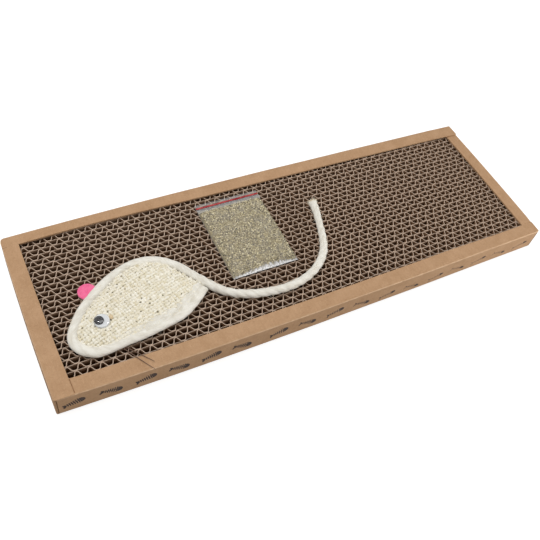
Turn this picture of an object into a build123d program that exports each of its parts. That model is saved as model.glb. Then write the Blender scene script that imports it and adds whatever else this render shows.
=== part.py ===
from build123d import *
import os
from math import ceil, cos, floor, hypot, radians, sin, sqrt, tan

# Flat cardboard cat scratcher: a folded kraft tray round a core of corrugated strips,
# with a sisal rope mouse and a small grip-seal sachet of catnip lying loose on top.
# Millimetres. Origin at the centre of the footprint on the floor, +X along the length,
# +Y to the back, +Z up.

# Kraft tray
tray_length = 450.0
tray_width = 150.0
tray_height = 23.5
board = 1.5
flange_width = 12.5
corner_slit = 0.6
flange_seam = 0.3
glue_tab_length = 20.0

# Corrugated core, flutes standing upright
paper = 0.45
flute_pitch = 9.2
strip_caliper = 5.2
glue_line = 0.05
liner_bond = 0.1
core_end_clearance = 0.5
strip_stagger = 0.764

# Toys lying on the core: gaps from the flanges to the mouse's middle and to the sachet
toy_clearance = 0.3
mouse_end_gap = 64.5
mouse_front_gap = 44.5
sachet_back_gap = 4.0

# Sisal mouse
rope_diameter = 7.5
rope_spacing = 0.1
back_mat_thickness = 2.0
stiffener_thickness = 3.0
front_mat_rise = 4.0
ear_radius = 7.4
ear_thickness = 2.0
ear_level = 1.2
whisker_diameter = 0.6

# Wobbly eye
eye_diameter = 12.0
eye_base_thickness = 1.0
eye_wall = 0.4
eye_dome_height = 3.2
eye_sink = 0.3
pupil_diameter = 7.0
pupil_thickness = 0.8
pupil_clearance = 0.2
pupil_rim_clearance = 0.1
pupil_angle = 165.0

# Catnip sachet
sachet_width = 60.0
sachet_length = 83.5
film = 0.2
sachet_seal = 3.0
fill_headroom = 5.0
fill_height = 4.5
fill_slope = 50.0
zip_width = 3.0
zip_height = 1.0
zip_from_top = 8.0

# Folds take their outside radius from the board. Levels run from the flanges down to the core
fold_radius = 0.8 * board
upper_level = tray_height
lower_level = upper_level - board
core_top = lower_level - board
toy_floor = core_top + toy_clearance
rope_radius = rope_diameter / 2
rope_level = toy_floor + rope_radius
mouse_x = flange_width + mouse_end_gap - tray_length / 2
mouse_y = flange_width + mouse_front_gap - tray_width / 2

# Middle line of the edge rope from the belly's tail end by the nose to the rump, and of
# the tail, all seen from above and measured from the mouse's middle
belly_nose_back = [
    (41.0, -16.9),
    (30.0, -23.0),
    (15.0, -26.8),
    (-2.0, -29.4),
    (-19.0, -31.2),
    (-33.0, -31.6),
    (-43.0, -29.2),
    (-50.3, -23.0),
    (-52.6, -15.0),
    (-48.5, -6.0),
    (-39.0, 6.0),
    (-24.0, 17.0),
    (-6.0, 28.0),
    (7.0, 32.5),
    (20.0, 32.6),
    (32.0, 27.8),
    (42.5, 18.2),
    (49.2, 7.0),
]
tail_free = [
    (60.1, -5.2),
    (71.0, -16.6),
    (85.5, -25.0),
    (102.0, -29.6),
    (119.0, -30.3),
    (136.0, -26.2),
    (151.5, -18.4),
    (163.2, -7.2),
    (170.8, 7.0),
    (175.8, 23.5),
    (179.1, 35.0),
    (181.8, 46.7),
]
ear_place = (-30.5, 21.0)
eye_place = (-29.4, -11.8)
whisker_runs = [((-24.9, -29.5), (-8.6, -56.7)), ((-23.0, -30.6), (-5.4, -52.7))]
sachet_from_mouse = 110.8

os.makedirs("parts", exist_ok=True)


def write(piece, name):
    piece.part.label = name
    export_step(piece.part, f"parts/{name}.step")


def toy_plane(level):
    return Plane((mouse_x, mouse_y, level))


def rope_radii(points):
    # Each arc is as large as the shorter of its two runs allows.
    radii = []
    for before, corner, after in zip(points, points[1:], points[2:]):
        run_in = Vector(*corner) - Vector(*before)
        run_out = Vector(*after) - Vector(*corner)
        half_turn = radians(run_in.get_angle(run_out)) / 2
        radii.append(0.45 * min(run_in.length, run_out.length) / tan(half_turn))
    return radii


# Kraft tray: floor, walls, glue tabs and flanges of one folded and glued blank
long_wall_length = tray_length - 2 * (board + corner_slit)
end_wall_x = (tray_length - board) / 2
long_wall_y = (tray_width - board) / 2
tab_x = end_wall_x - board
tab_y = long_wall_y - (board + glue_tab_length) / 2
# Each flange: the outer corner it starts from, its inward direction, its run and its top
flanges = [
    ((-tray_length / 2, tray_width / 2 - flange_width - flange_seam), (1, 0, 0),
     tray_width - flange_width - flange_seam, upper_level),
    ((tray_length / 2, -tray_width / 2 + flange_width + flange_seam), (-1, 0, 0),
     tray_width - flange_width - flange_seam, lower_level),
    ((-long_wall_length / 2, -tray_width / 2), (0, 1, 0),
     (long_wall_length + tray_length) / 2, lower_level),
    ((tray_length / 2, tray_width / 2), (0, -1, 0), tray_length, upper_level),
]
with BuildPart() as kraft_tray:
    with BuildSketch():
        Rectangle(tray_length, tray_width)
    extrude(amount=board)
    fillet(kraft_tray.faces().sort_by(Axis.Z)[0].edges(), fold_radius)
    with BuildSketch(Plane.XY.offset(board)):
        with Locations((end_wall_x, 0), (-end_wall_x, 0)):
            Rectangle(board, tray_width)
        with Locations((0, long_wall_y), (0, -long_wall_y)):
            Rectangle(long_wall_length, board)
        with Locations((tab_x, tab_y), (tab_x, -tab_y), (-tab_x, tab_y), (-tab_x, -tab_y)):
            Rectangle(board, glue_tab_length)
    extrude(amount=core_top - board)
    # The left and back walls stand one board higher, under the upper flanges
    with BuildSketch(Plane.XY.offset(core_top)):
        with Locations((-end_wall_x, 0)):
            Rectangle(board, tray_width)
        with Locations((0, long_wall_y)):
            Rectangle(long_wall_length, board)
    extrude(amount=board)
    for start, inward, run, level in flanges:
        along = Vector(*inward).cross(Vector(0, 0, 1))
        with BuildSketch(Plane((*start, level - board), x_dir=inward, z_dir=along)) as section:
            Rectangle(flange_width, board, align=(Align.MIN, Align.MIN))
            fillet(section.vertices().group_by(Axis.Y)[-1].sort_by(Axis.X)[0], fold_radius)
        extrude(amount=run)
write(kraft_tray, "kraft_tray")

# Corrugated core: each strip is a liner with one fluted sheet bonded to it
core_length = tray_length - 2 * (2 * board + core_end_clearance)
core_width = tray_width - 2 * board
core_depth = core_top - board
strip_count = floor(core_width / strip_caliper)
core_front = -strip_count * strip_caliper / 2
half_pitch = flute_pitch / 2
flute_height = strip_caliper - glue_line - paper + liner_bond
slant_share = (paper / half_pitch) ** 2
# Rise of the flute's middle line, so that the sheet's outside fills the flute height
flute_rise = (
    flute_height
    - sqrt(flute_height**2 - (1 - slant_share) * (flute_height**2 - paper**2))
) / (1 - slant_share)
flute_skin = paper / 2 * hypot(half_pitch, flute_rise) / half_pitch
flute_middle = paper - liner_bond + flute_height / 2


def flute_line(x, phase):
    sweep_share = (x / half_pitch + phase) % 2
    return flute_middle + flute_rise * (abs(sweep_share - 1) - 0.5)


for number in range(strip_count):
    phase = number * strip_stagger % 2
    first_fold = ceil(phase - core_length / flute_pitch)
    last_fold = floor(phase + core_length / flute_pitch)
    folds = [(fold - phase) * half_pitch for fold in range(first_fold, last_fold + 1)]
    stations = [-core_length / 2, *folds, core_length / 2]
    far_side = [(x, flute_line(x, phase) + flute_skin) for x in stations]
    near_side = [(x, flute_line(x, phase) - flute_skin) for x in reversed(stations)]
    with BuildPart() as core_strip:
        with BuildSketch(Plane((0, core_front + number * strip_caliper, board))):
            with BuildLine():
                Polyline(*far_side, *near_side, close=True)
            make_face()
            Rectangle(core_length, paper, align=(Align.CENTER, Align.MIN))
        extrude(amount=core_depth)
    write(core_strip, f"core_strip_{number + 1:02d}")

# Edge rope: it starts beside the tail, one rope's width away, and leaves at the rump
rump = Vector(*belly_nose_back[-1])
tail_first = Vector(*tail_free[0])
tail_exit = (rump + tail_first) / 2
exit_direction = (tail_first - rump).normalized()
belly_side = exit_direction.rotate(Axis.Z, -90)
edge_start = tail_exit + belly_side * (rope_diameter + rope_spacing)
edge_points = [(edge_start.X, edge_start.Y), *belly_nose_back, (tail_exit.X, tail_exit.Y)]
edge_radii = rope_radii(edge_points)
with BuildPart() as mouse_edge_rope:
    with BuildLine(toy_plane(rope_level)) as edge_route:
        FilletPolyline(*edge_points, radius=edge_radii)
    with BuildSketch(Plane(edge_route.line @ 0, z_dir=edge_route.line % 0)):
        Circle(rope_radius)
    sweep()
write(mouse_edge_rope, "mouse_edge_rope")

# Tail: the same rope lying free on the core, cut off square
tail_points = [(tail_exit.X, tail_exit.Y), *tail_free]
tail_radii = rope_radii(tail_points)
with BuildPart() as mouse_tail:
    with BuildLine(toy_plane(rope_level)) as tail_route:
        FilletPolyline(*tail_points, radius=tail_radii)
    with BuildSketch(Plane(tail_route.line @ 0, z_dir=tail_route.line % 0)):
        Circle(rope_radius)
    sweep()
write(mouse_tail, "mouse_tail")
tail_length = tail_route.wire().length
tail_section = mouse_tail.part.volume / tail_length
print("tail length", round(tail_length, 1), "radii", [round(radius, 1) for radius in tail_radii])
print("tail volume over length", round(tail_section, 2), "section", round(Circle(rope_radius).area, 2))


def body_section(level, share):
    # The outline inside the edge rope's middle line, drawn in to a share of its size.
    points = [(x * share, y * share) for x, y in edge_points]
    with BuildSketch(toy_plane(level)) as section:
        with BuildLine():
            outline = FilletPolyline(*points, radius=rope_radii(points))
            Line(outline @ 1, outline @ 0)
        make_face()
    return section.sketch


# Mouse body: two woven mats over a stiffener, all held inside the edge rope
stiffener_level = toy_floor + back_mat_thickness
front_mat_level = stiffener_level + stiffener_thickness
crown_level = front_mat_level + front_mat_rise
with BuildPart() as mouse_back_mat:
    add(body_section(toy_floor, 1))
    extrude(amount=back_mat_thickness)
    add(mouse_edge_rope.part, mode=Mode.SUBTRACT)
write(mouse_back_mat, "mouse_back_mat")

with BuildPart() as mouse_stiffener:
    add(body_section(stiffener_level, 1))
    extrude(amount=stiffener_thickness)
    add(mouse_edge_rope.part, mode=Mode.SUBTRACT)
write(mouse_stiffener, "mouse_stiffener")

# Wobbly eye: white base, clear dome and a loose pupil between them
eye_radius = eye_diameter / 2
eye_level = crown_level - eye_sink
eye_x = mouse_x + eye_place[0]
eye_y = mouse_y + eye_place[1]
dome_level = eye_level + eye_base_thickness
with BuildPart() as eye_base:
    with BuildSketch(Plane((eye_x, eye_y, eye_level))):
        Circle(eye_radius)
    extrude(amount=eye_base_thickness)
write(eye_base, "eye_base")

# The dome is a rim with a rounded cap, hollow inside
cap_rise = eye_dome_height - pupil_thickness - 2 * pupil_clearance - eye_wall
cap_radius = (eye_radius**2 + cap_rise**2) / (2 * cap_rise)
cap_centre = eye_dome_height - cap_radius
inner_radius = eye_radius - eye_wall
inner_cap = cap_radius - eye_wall
with BuildPart() as eye_dome:
    with BuildSketch(Plane((eye_x, eye_y, dome_level), x_dir=(1, 0, 0), z_dir=(0, -1, 0))):
        with BuildLine():
            rim_top = cap_centre + sqrt(cap_radius**2 - eye_radius**2)
            inner_top = cap_centre + sqrt(inner_cap**2 - inner_radius**2)
            Line((inner_radius, 0), (eye_radius, 0))
            Line((eye_radius, 0), (eye_radius, rim_top))
            RadiusArc((eye_radius, rim_top), (0, eye_dome_height), -cap_radius)
            Line((0, eye_dome_height), (0, eye_dome_height - eye_wall))
            RadiusArc((0, eye_dome_height - eye_wall), (inner_radius, inner_top), inner_cap)
            Line((inner_radius, inner_top), (inner_radius, 0))
        make_face()
    revolve(axis=Axis((eye_x, eye_y, 0), (0, 0, 1)))
write(eye_dome, "eye_dome")

pupil_offset = inner_radius - pupil_rim_clearance - pupil_diameter / 2
pupil_x = eye_x + pupil_offset * cos(radians(pupil_angle))
pupil_y = eye_y + pupil_offset * sin(radians(pupil_angle))
with BuildPart() as eye_pupil:
    with BuildSketch(Plane((pupil_x, pupil_y, dome_level + pupil_clearance))):
        Circle(pupil_diameter / 2)
    extrude(amount=pupil_thickness)
write(eye_pupil, "eye_pupil")

# The front mat swells from the rope towards its middle and carries the eye in a shallow seat
swell = [(0, 1), (0.4, 0.95), (0.82, 0.8), (1, 0.5)]
with BuildPart() as mouse_front_mat:
    for height_share, outline_share in swell:
        add(body_section(front_mat_level + height_share * front_mat_rise, outline_share))
    loft()
    add(mouse_edge_rope.part, mode=Mode.SUBTRACT)
    add(eye_base.part, mode=Mode.SUBTRACT)
write(mouse_front_mat, "mouse_front_mat")

# Felt ear: a disc tucked in against the outside of the rope
with BuildPart() as mouse_ear:
    with BuildSketch(toy_plane(toy_floor + ear_level)):
        with Locations(ear_place):
            Circle(ear_radius)
        add(body_section(toy_floor + ear_level, 1), mode=Mode.SUBTRACT)
    extrude(amount=ear_thickness)
    add(mouse_edge_rope.part, mode=Mode.SUBTRACT)
write(mouse_ear, "mouse_ear")

# Whiskers: two stiff bristles rooted in the rope, passing just over the front flange
whisker_level = lower_level + toy_clearance + whisker_diameter / 2
with BuildPart() as mouse_whiskers:
    for root, tip in whisker_runs:
        with BuildLine(toy_plane(whisker_level)) as whisker_route:
            Line(root, tip)
        with BuildSketch(Plane(whisker_route.line @ 0, z_dir=whisker_route.line % 0)):
            Circle(whisker_diameter / 2)
        sweep(path=whisker_route.line)
write(mouse_whiskers, "mouse_whiskers")

# Catnip sachet: two films sealed at the rim, a press-to-close zip and the loose leaf
sachet_x = mouse_x + sachet_from_mouse
sachet_y = (tray_width - sachet_length) / 2 - flange_width - sachet_back_gap
inside_level = toy_floor + film
zip_y = sachet_y + sachet_length / 2 - zip_from_top
fill_width = sachet_width - 2 * sachet_seal
fill_length = sachet_length - sachet_seal - zip_from_top - zip_width / 2 - fill_headroom
fill_y = sachet_y - sachet_length / 2 + sachet_seal + fill_length / 2
fill_plane = Plane((sachet_x, fill_y, inside_level))
zip_plane = Plane((sachet_x, zip_y, inside_level))
with BuildPart() as sachet_back_film:
    with BuildSketch(Plane((sachet_x, sachet_y, toy_floor))):
        Rectangle(sachet_width, sachet_length)
    extrude(amount=film)
write(sachet_back_film, "sachet_back_film")

with BuildPart() as catnip_fill:
    with BuildSketch(fill_plane):
        Rectangle(fill_width, fill_length)
    extrude(amount=fill_height, taper=fill_slope)
write(catnip_fill, "catnip_fill")

with BuildPart() as sachet_front_film:
    with BuildSketch(Plane((sachet_x, sachet_y, inside_level))):
        Rectangle(sachet_width, sachet_length)
    extrude(amount=film)
    with BuildSketch(fill_plane):
        Rectangle(fill_width + 2 * film, fill_length + 2 * film)
    extrude(amount=fill_height + film, taper=fill_slope)
    with BuildSketch(zip_plane):
        Rectangle(sachet_width, zip_width + 2 * film)
    extrude(amount=zip_height + film)
    with BuildSketch(zip_plane):
        Rectangle(sachet_width, zip_width)
    extrude(amount=zip_height, mode=Mode.SUBTRACT)
    add(catnip_fill.part, mode=Mode.SUBTRACT)
write(sachet_front_film, "sachet_front_film")

with BuildPart() as sachet_zip_groove:
    with BuildSketch(zip_plane):
        Rectangle(sachet_width, zip_width)
    extrude(amount=zip_height)
    with BuildSketch(zip_plane.offset(zip_height / 2)):
        Rectangle(sachet_width, zip_width / 3)
    extrude(amount=zip_height / 2, mode=Mode.SUBTRACT)
write(sachet_zip_groove, "sachet_zip_groove")

with BuildPart() as sachet_zip_rib:
    with BuildSketch(zip_plane.offset(zip_height / 2)):
        Rectangle(sachet_width, zip_width / 3)
    extrude(amount=zip_height / 2)
write(sachet_zip_rib, "sachet_zip_rib")
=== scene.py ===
import math
import random
import bmesh
import bpy
import numpy as np
from mathutils import Matrix, Quaternion, Vector, noise


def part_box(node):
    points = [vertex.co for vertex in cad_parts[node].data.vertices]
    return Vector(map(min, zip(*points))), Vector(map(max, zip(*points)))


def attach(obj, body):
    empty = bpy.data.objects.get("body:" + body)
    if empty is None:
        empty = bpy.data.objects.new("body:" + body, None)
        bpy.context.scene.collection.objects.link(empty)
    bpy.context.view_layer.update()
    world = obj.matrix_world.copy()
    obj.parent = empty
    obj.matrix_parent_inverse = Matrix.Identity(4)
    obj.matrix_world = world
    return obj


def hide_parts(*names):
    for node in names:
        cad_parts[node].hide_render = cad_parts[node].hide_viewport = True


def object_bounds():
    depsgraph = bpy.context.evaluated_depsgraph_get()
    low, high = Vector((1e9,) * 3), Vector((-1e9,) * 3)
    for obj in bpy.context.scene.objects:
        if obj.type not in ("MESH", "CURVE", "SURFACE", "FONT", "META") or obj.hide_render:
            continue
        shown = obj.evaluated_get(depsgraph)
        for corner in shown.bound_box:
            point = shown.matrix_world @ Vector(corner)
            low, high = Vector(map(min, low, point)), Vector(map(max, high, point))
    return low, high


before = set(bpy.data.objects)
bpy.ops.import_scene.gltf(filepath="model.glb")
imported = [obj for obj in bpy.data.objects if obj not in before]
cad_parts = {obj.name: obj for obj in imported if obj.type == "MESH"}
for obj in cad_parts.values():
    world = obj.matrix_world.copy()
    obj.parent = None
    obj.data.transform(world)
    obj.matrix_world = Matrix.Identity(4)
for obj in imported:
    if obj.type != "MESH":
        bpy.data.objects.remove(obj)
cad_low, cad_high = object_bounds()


# Tray: one die-cut blank of kraft corrugated board, folded into floor, walls and flanges and glued
# with tabs at the corners. The long walls bow out where the core presses on them, and the flanges
# ripple a little above it.
mm = 0.001
half_length = cad_high[0]
half_width = 75 * mm
board = 1.5 * mm
flange_width = 12.5 * mm
lower_flange_top = 22 * mm
bow_front = 2.5 * mm
bow_back = 2.2 * mm
bow_ends = 0.9 * mm
push_ends = 1.4 * mm
flange_lift = 0.5 * mm
back_sag = 1.1 * mm
lap_press = 0.62
flange_seam = 0.3 * mm
wall_top = 19.5 * mm
flange_bottom = 20.4 * mm
lap_start = 61 * mm
lap_end = 62 * mm


def ease(value, low, high):
    """0 below low, 1 above high, with a smooth rise between."""
    t = min(max((value - low) / (high - low), 0), 1)
    return t * t * (3 - 2 * t)


def uneven(x, y, z):
    """A smooth swing about 0 from place to place, the same at each run."""
    return noise.noise(Vector((x, y, z)))


def corner_rub(point):
    """How far a corner of the tray is rounded by rubbing: the left back one most, the right back one least.
    """
    if point.y < 0:
        return 1.5 * mm
    return 4.5 * mm if point.x < 0 else 0.8 * mm


def board_give(point):
    """The place of a point of the flat-walled tray once the board has given."""
    along = point.x / half_length
    across = point.y / half_width
    from_end = half_length - abs(point.x)
    from_side = half_width - abs(point.y)
    on_flange = ease(point.z, wall_top, flange_bottom)
    trim = on_flange * ease(from_side, 3 * mm, flange_width)
    sag = trim * back_sag * ease(from_end, 13 * mm, 45 * mm) if across > 0 else 0
    long_side = ease(abs(point.y), 36 * mm, 61 * mm)
    if across > 0:
        bow = bow_back * (1 - along * along) * (1 - 0.5 * along)
        trimmed = 2.2 * (1 - ease(point.x, -160 * mm, -50 * mm)) - 0.6 * ease(point.x, 60 * mm, 150 * mm)
    else:
        bow = -bow_front * (1 - along * along) * (1 - 0.45 * along)
        trimmed = 0.6 - 0.4 * ease(point.x, -190 * mm, -20 * mm) - 0.9 * ease(point.x, 110 * mm, 190 * mm)
    bow += trim * trimmed * mm
    bow += sag
    wave = uneven(point.x * 22, point.y * 22, 3.1)
    bulge = 0.25 * mm * wave * (1 - along * along)
    y = point.y + (bow + bulge) * long_side
    end_side = ease(abs(point.x), 185 * mm, 211 * mm)
    push = push_ends + bow_ends * (1 - across * across)
    if along > 0:
        x = point.x + (push + 0.3 * mm * across) * end_side
    else:
        skew = on_flange * ease(from_end, 3 * mm, flange_width) * (1 - across)
        x = point.x - (push - 1.05 * mm * skew) * end_side
    ripple = flange_lift * on_flange * ease(min(from_end, from_side), 1.5 * mm, flange_width)
    ripple *= 0.5 + 0.9 * uneven(point.x * 16, point.y * 16, 7.7)
    level = point.z + max(ripple, 0) - sag
    over_front = ease(-point.y, 52 * mm, 73 * mm) * (1 - ease(point.x + half_length, 13 * mm, 14 * mm))
    over_right = ease(point.x, 195 * mm, 222 * mm) * ease(point.y, lap_start, lap_end)
    lap = lap_press * max(over_front, over_right)
    if level > lower_flange_top:
        level -= (level - lower_flange_top) * lap
    x -= 0.35 * mm * on_flange * ease(point.x, 214 * mm, half_length) * ease(-point.y, lap_start, lap_end)
    # the seams beside the left and right flanges are nearly shut, and the corners are rounded by rubbing
    in_seam = abs(flange_width + flange_seam - from_side) < 0.02 * mm
    if in_seam and on_flange > 0.5:
        y += math.copysign(0.29 * mm, point.y) * ease(from_end, 1 * mm, 6 * mm)
    rub = corner_rub(point)
    over_x = abs(point.x) - half_length + rub
    over_y = abs(point.y) - half_width + rub
    if over_x > 0 and over_y > 0:
        pull = 1 - min(rub / math.hypot(over_x, over_y), 1)
        x -= math.copysign(over_x * pull, point.x)
        y -= math.copysign(over_y * pull, point.y)
    return Vector((x, y, level))


shell = bmesh.new()
shell.from_mesh(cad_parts["kraft_tray"].data)
bmesh.ops.remove_doubles(shell, verts=shell.verts, dist=2e-6)
corner_cuts = (0.35, 0.8, 1.5, 2.3, 3.3, 4.5)
for square, count, reach in ((Vector((1, 0, 0)), 54, half_length), (Vector((0, 1, 0)), 16, half_width)):
    places = [-reach + 2 * reach * n / count for n in range(1, count)]
    places += [way * (reach - inset * mm) for way in (-1, 1) for inset in corner_cuts]
    for place in places:
        whole = shell.verts[:] + shell.edges[:] + shell.faces[:]
        bmesh.ops.bisect_plane(shell, geom=whole, dist=1e-7, plane_co=square * place, plane_no=square)
raw_edge = shell.faces.layers.float.new("raw_edge")
shell.normal_update()
for face in shell.faces:
    middle = face.calc_center_median()
    upright = abs(face.normal.z) < 0.3
    in_window = abs(middle.x) < half_length - 11.5 * mm and abs(middle.y) < half_width - 11.5 * mm
    right_lap = middle.x > half_length - flange_width and middle.y > 0 and face.normal.y < -0.9
    face[raw_edge] = 1.0 if upright and middle.z > 20.3 * mm and (in_window or right_lap) else 0.0
for vertex in shell.verts:
    vertex.co = board_give(vertex.co)


def tint(red, green, blue):
    """A colour as a shader takes it, from the 0 to 255 values it is seen as."""
    parts = [c / 255 for c in (red, green, blue)]
    return [c / 12.92 if c <= 0.04045 else ((c + 0.055) / 1.055) ** 2.4 for c in parts] + [1.0]


def put(tree, kind, inputs={}, **settings):
    """A shader node with its settings, and its inputs as plain values or as links."""
    node = tree.nodes.new("ShaderNode" + kind)
    for key, value in settings.items():
        setattr(node, key, value)
    for key, value in inputs.items():
        if isinstance(value, bpy.types.NodeSocket):
            tree.links.new(value, node.inputs[key])
        else:
            node.inputs[key].default_value = value
    return node


def grey(bright):
    """A grey as a shader takes it."""
    return (bright, bright, bright, 1)


def ramp(tree, factor, *stops):
    """A grey ramp: each stop is its place and its brightness."""
    node = put(tree, "ValToRGB", {"Fac": factor})
    stop_list = node.color_ramp.elements
    while len(stop_list) < len(stops):
        stop_list.new(0.5)
    for stop, (place, bright) in zip(stop_list, stops):
        stop.position = place
        stop.color = grey(bright)
    return node.outputs["Color"]


def mix(tree, factor, first, second, way="MIX"):
    """Two colours blended by a factor."""
    inputs = {"Fac": factor, "Color1": first, "Color2": second}
    return put(tree, "MixRGB", inputs, blend_type=way).outputs["Color"]


def new_group(name, inputs, outputs):
    """A shader node group: its tree, its input sockets and its output sockets."""
    tree = bpy.data.node_groups.new(name, "ShaderNodeTree")
    for label, kind in inputs:
        tree.interface.new_socket(label, in_out="INPUT", socket_type="NodeSocket" + kind)
    for label, kind in outputs:
        tree.interface.new_socket(label, in_out="OUTPUT", socket_type="NodeSocket" + kind)
    return tree, tree.nodes.new("NodeGroupInput").outputs, tree.nodes.new("NodeGroupOutput").inputs


def new_material(name, **plain):
    """A material's tree and its Principled shader, with the values that are the same all over."""
    material = bpy.data.materials.new(name)
    material.use_nodes = True
    shader = material.node_tree.nodes["Principled BSDF"]
    for key, value in plain.items():
        shader.inputs[key.replace("_", " ").title().replace("Ior", "IOR")].default_value = value
    return material, material.node_tree, shader


# paper_fibre: pulp clouds and crossing fibres, for every paper of the scratcher
paper_fibre, given, made = new_group(
    "paper_fibre",
    (("Place", "Vector"), ("Tone", "Color"), ("Shade", "Color"), ("Light", "Color"), ("Fineness", "Float")),
    (("Colour", "Color"), ("Height", "Float")),
)
clouds = put(paper_fibre, "TexNoise", {"Vector": given["Place"], "Scale": 95, "Detail": 5, "Roughness": 0.62})
fibre_layers = []
for turn, stretch in ((0.5, (1, 7, 4)), (-0.9, (7, 1, 4)), (1.9, (5, 1.4, 1))):
    inputs = {"Vector": given["Place"], "Rotation": (0.3, 0.2, turn), "Scale": stretch}
    laid = put(paper_fibre, "Mapping", inputs).outputs["Vector"]
    layer = put(paper_fibre, "TexNoise", {"Vector": laid, "Scale": given["Fineness"], "Detail": 2})
    fibre_layers.append(layer.outputs["Fac"])
dark_fibre = ramp(paper_fibre, fibre_layers[0], (0.58, 0), (0.72, 1))
light_fibre = ramp(paper_fibre, fibre_layers[1], (0.57, 0), (0.72, 1))
cloud_share = ramp(paper_fibre, clouds.outputs["Fac"], (0.32, 0), (0.7, 1))
tone = mix(paper_fibre, cloud_share, given["Tone"], given["Shade"])
tone = mix(paper_fibre, 0.35, tone, mix(paper_fibre, dark_fibre, tone, given["Shade"], "MULTIPLY"))
tone = mix(paper_fibre, 0.5, tone, mix(paper_fibre, light_fibre, tone, given["Light"]))
nap = put(paper_fibre, "Math", {0: fibre_layers[2], 1: light_fibre}, operation="ADD")
paper_fibre.links.new(tone, made["Colour"])
paper_fibre.links.new(nap.outputs[0], made["Height"])


def pulp(tree, place, tone, shade, light, fineness):
    """Places paper_fibre in a material with its own tones."""
    inputs = {"Place": place, "Tone": tone, "Shade": shade, "Light": light, "Fineness": fineness}
    return put(tree, "Group", inputs, node_tree=paper_fibre).outputs


# mottle: two tones clouded into each other, for wear, scuffs, painted light and shade, and every plain finish
mottle, given, made = new_group(
    "mottle",
    (("Place", "Vector"), ("First", "Color"), ("Second", "Color"), ("Low", "Float"), ("High", "Float"),
     ("Scale", "Float"), ("Detail", "Float"), ("Roughness", "Float"), ("Distortion", "Float")),
    (("Colour", "Color"), ("Height", "Float")),
)
inputs = {key: given[key] for key in ("Scale", "Detail", "Roughness", "Distortion")}
inputs["Vector"] = given["Place"]
cloud = put(mottle, "TexNoise", inputs).outputs["Fac"]
share = put(mottle, "MapRange", {"Value": cloud, "From Min": given["Low"], "From Max": given["High"]})
tone = mix(mottle, share.outputs["Result"], given["First"], given["Second"])
mottle.links.new(tone, made["Colour"])
mottle.links.new(cloud, made["Height"])


def mottled(tree, first, second, low, high, scale, detail, roughness=0.5, distortion=0.0):
    """Places mottle in a material with its own tones and sizes."""
    place = put(tree, "TexCoord").outputs["Object"]
    inputs = {"Place": place, "First": first, "Second": second, "Low": low, "High": high}
    inputs.update({"Scale": scale, "Detail": detail, "Roughness": roughness, "Distortion": distortion})
    return put(tree, "Group", inputs, node_tree=mottle).outputs


def coat(tree, shader, tone, height, strength, depth):
    """Gives a shader its colour, and a height as a bump."""
    tree.links.new(tone, shader.inputs["Base Color"])
    bump = put(tree, "Bump", {"Height": height, "Strength": strength, "Distance": depth})
    tree.links.new(bump.outputs["Normal"], shader.inputs["Normal"])


kraft, tree, shader = new_material("kraft_board", roughness=0.86, specular_ior_level=0.25)
place = put(tree, "TexCoord").outputs["Object"]
fibres = pulp(tree, place, tint(188, 151, 116), tint(175, 138, 103), tint(207, 173, 140), 420.0)
# painted highlight: the rounded folds between the walls and the flanges are painted paler, partly the
# crushed, worn board of the fold and partly a highlight, broken up by a mottle
facing = put(tree, "SeparateXYZ", {"Vector": put(tree, "NewGeometry").outputs["Normal"]}).outputs["Z"]
crease_highlight = ramp(tree, facing, (0.06, 0), (0.3, 1), (0.72, 1), (0.95, 0))
painted_light_mottle = mottled(tree, grey(0.25), grey(0.75), 0.3, 0.62, 260, 4)
crease_highlight = mix(tree, 1.0, crease_highlight, painted_light_mottle["Colour"], "MULTIPLY")
skin = mix(tree, crease_highlight, fibres["Colour"], tint(222, 190, 156))
inputs = {"Vector": place, "Scale": 98, "Distortion": 0.6, "Detail": 1}
ridges = put(tree, "TexWave", inputs, bands_direction="X").outputs
skin = mix(tree, 0.012, skin, ridges["Color"], "OVERLAY")
# painted shade: the cut edges of the board are painted a little darker than its faces, as the shade between
# its liners
cut_side = put(tree, "Attribute", attribute_name="raw_edge").outputs["Fac"]
skin = mix(tree, cut_side, skin, tint(176, 140, 106))
relief = put(tree, "Math", {0: ridges["Fac"], 1: 0.25, 2: fibres["Height"]}, operation="MULTIPLY_ADD")
coat(tree, shader, skin, relief.outputs[0], 0.16, 0.0002)


def from_lists(name, points, faces):
    """A mesh from points and faces, with its faces turned outward."""
    mesh = bpy.data.meshes.new(name)
    mesh.from_pydata([tuple(map(float, p)) for p in points], [], faces)
    turned = bmesh.new()
    turned.from_mesh(mesh)
    bmesh.ops.recalc_face_normals(turned, faces=turned.faces)
    turned.to_mesh(mesh)
    turned.free()
    return mesh


def show(name, form, material, body, slot, *nodes, smooth=35, **kept):
    """Puts a piece of the object in the scene. form is a mesh, or points and faces, and kept holds a
    value or a direction for each point, for the material."""
    mesh = form if isinstance(form, bpy.types.Mesh) else from_lists(name, *form)
    mesh.materials.clear()
    mesh.materials.append(material)
    mesh.shade_smooth()
    mesh.set_sharp_from_angle(angle=math.radians(smooth))
    piece = bpy.data.objects.new(name, mesh)
    bpy.context.scene.collection.objects.link(piece)
    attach(piece, body)
    if nodes:
        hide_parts(*nodes)
    for label, values in kept.items():
        values = np.asarray(values, dtype=np.float32)
        kind, key = ("FLOAT_VECTOR", "vector") if values.ndim == 2 else ("FLOAT", "value")
        piece.data.attributes.new(label, kind, "POINT").data.foreach_set(key, values.ravel())
    return piece


tray_mesh = bpy.data.meshes.new("tray_board")
shell.to_mesh(tray_mesh)
shell.free()
show("tray_board", tray_mesh, kraft, "scratcher", "kraft_board", "kraft_tray", smooth=25)


# Raw edges of the long flanges: the cut shows the board's two liners with the small flutes between
# them. Paper ribbons standing just proud of the cut, one zigzag between two straight ones.
edge_pitch = 3.2 * mm
edge_paper = 0.28 * mm
edge_proud = 0.09 * mm


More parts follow.
